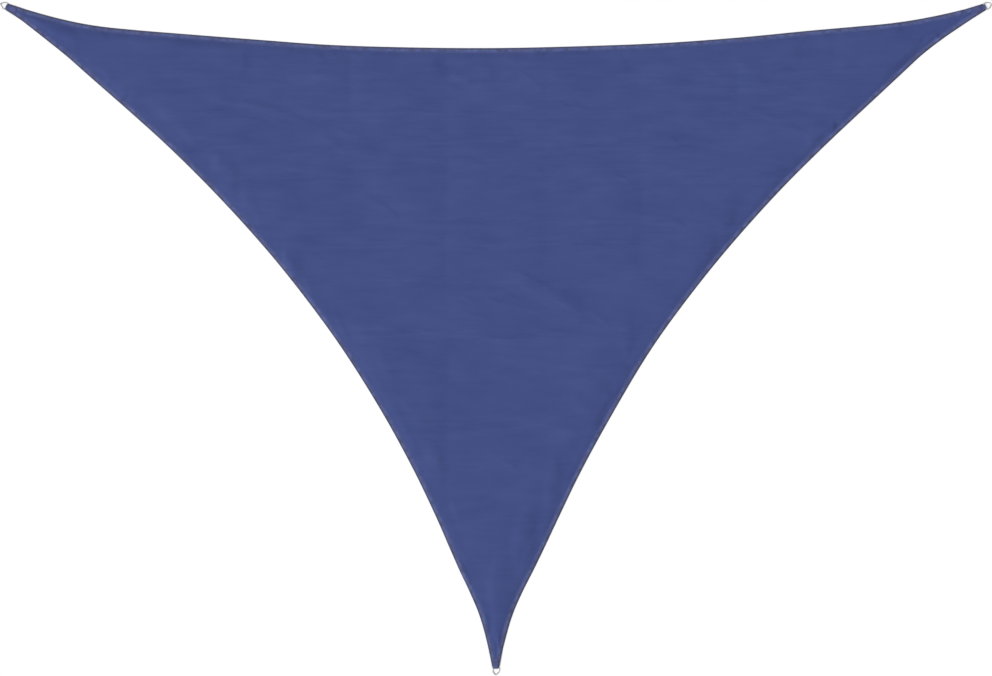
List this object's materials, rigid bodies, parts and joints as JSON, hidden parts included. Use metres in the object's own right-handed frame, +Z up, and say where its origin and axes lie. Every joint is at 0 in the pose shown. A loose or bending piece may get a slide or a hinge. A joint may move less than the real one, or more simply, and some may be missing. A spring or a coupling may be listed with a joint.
{
  "type": "shade sail",
  "caption": "Triangular knitted shade sail with inward-bowed edges, webbing sewn along its hems and a steel D-ring looped into each corner, laid out flat.",
  "frame": {"origin": "centre of the sail's box in plan, at the height of the surface that it lies on", "axes": "+X along the long side, +Y from the lower corner towards the long side, +Z up out of the cloth's upper face"},
  "size_m": [6.0018, 4.074, 0.0153],
  "materials": {
    "knitted_cloth": "dull blue knitted shade cloth",
    "woven_webbing": "ribbed blue webbing",
    "stainless_steel": "smooth satin wire"
  },
  "bodies": {
    "root": {"sail_cloth": "knitted_cloth", "edge_webbing_right": "woven_webbing", "edge_webbing_top": "woven_webbing", "edge_webbing_left": "woven_webbing", "corner_loop_bottom": "woven_webbing", "corner_loop_right": "woven_webbing", "corner_loop_left": "woven_webbing", "d_ring_bottom": "stainless_steel", "d_ring_right": "stainless_steel", "d_ring_left": "stainless_steel"}
  },
  "joints": []
}
